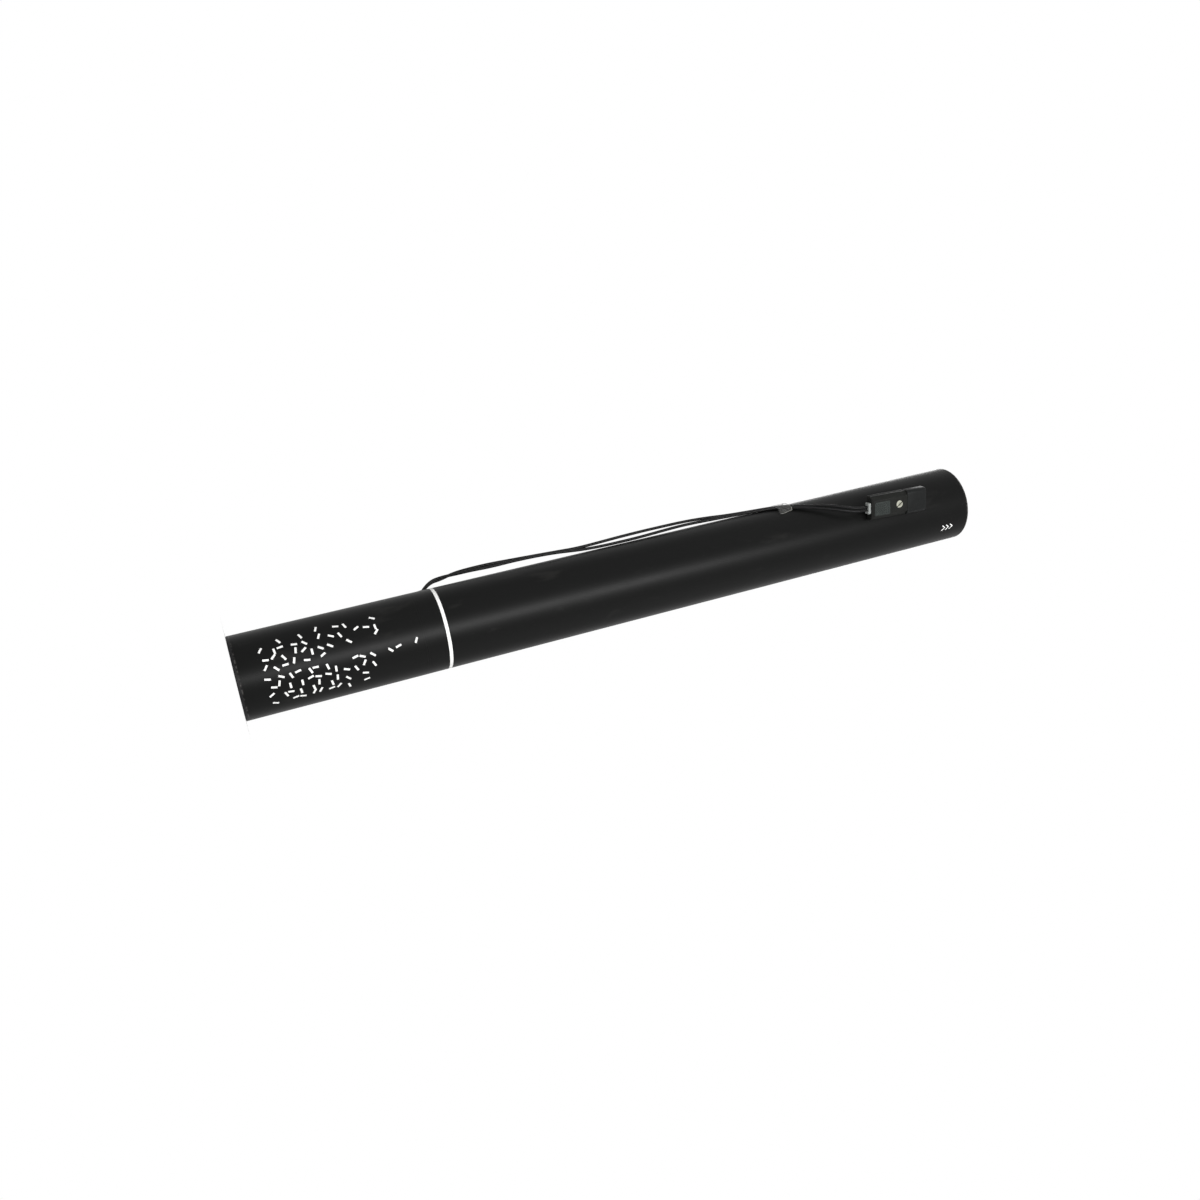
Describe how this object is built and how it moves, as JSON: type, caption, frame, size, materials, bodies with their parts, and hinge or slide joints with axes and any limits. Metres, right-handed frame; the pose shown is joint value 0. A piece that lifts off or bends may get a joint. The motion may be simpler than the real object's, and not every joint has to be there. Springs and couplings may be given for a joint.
{
  "type": "confetti popper",
  "caption": "Black cardboard confetti tube fired electrically: a gas bottle and valve in its base, paper slips above, and a wire pair taped along it to a small plug.",
  "frame": {"origin": "centre of the base", "axes": "+Z along the tube from the base to the muzzle, -Y within about 6 degrees of the way the plug's screw faces"},
  "size_m": [0.0556, 0.0554, 0.5],
  "materials": {
    "board": "matt",
    "wrap": "satin",
    "black_plastic": "satin",
    "dark_plastic": "satin",
    "grey_plastic": "satin",
    "white_plastic": "satin",
    "rubber": "matt",
    "wire": "gloss",
    "clear_tape": "gloss",
    "steel": "satin",
    "aluminium": "satin",
    "brass": "satin",
    "ceramic": "matt",
    "felt": "matt",
    "paper_orange": "matt",
    "paper_yellow": "matt",
    "paper_blue": "matt",
    "paper_green": "matt",
    "paper_red": "matt",
    "paper_cyan": "matt"
  },
  "bodies": {
    "body": {"base_cap": "black_plastic", "bottle_seat": "rubber", "gas_bottle": "steel", "rupture_disc": "aluminium", "neck_nut": "brass", "valve_block": "aluminium", "block_seal": "rubber", "striker_spring": "steel", "spring_cap": "brass", "sear_pin": "steel", "fuse_link": "white_plastic", "heater": "ceramic", "heater_leads": "steel", "terminal_block": "grey_plastic", "terminal_screws": "brass", "inner_leads": "wire", "cardboard_tube": "board", "tube_wrap": "wrap", "base_label": "wrap", "wire_grommet": "rubber", "gas_screen": "steel", "wire_a": "wire", "wire_b": "wire", "wire_tape": "clear_tape", "plug_base": "dark_plastic", "plug_cover": "black_plastic", "plug_screw": "brass", "plug_nut": "steel", "plug_pins": "brass", "pin_screws": "steel", "cable_clamp": "grey_plastic", "plug_leads": "wire"},
    "sear": {"sear": "steel"},
    "striker": {"striker": "steel"},
    "load": {"wad": "felt", "confetti_orange": "paper_orange", "confetti_yellow": "paper_yellow", "confetti_blue": "paper_blue", "confetti_green": "paper_green", "confetti_red": "paper_red", "confetti_cyan": "paper_cyan", "muzzle_lid": "black_plastic"}
  },
  "joints": [
    {"name": "sear_hinge", "type": "hinge", "parent": "body", "child": "sear", "pos_m": [0, 0.0176, 0.124], "axis": [1, 0, 0], "range_deg": [0, 15], "deforming": ["fuse_link"]},
    {"name": "striker_slide", "type": "slide", "parent": "body", "child": "striker", "axis": [0, 0, -1], "range_m": [0, 0.004], "deforming": ["striker_spring", "rupture_disc"]},
    {"name": "load_slide", "type": "slide", "parent": "body", "child": "load", "axis": [0, 0, 1], "range_m": [0, 0.32]}
  ],
  "couplings": [
    {"joint": "striker_slide", "follows": "sear_hinge", "m_per_rad": 0.015279}
  ]
}
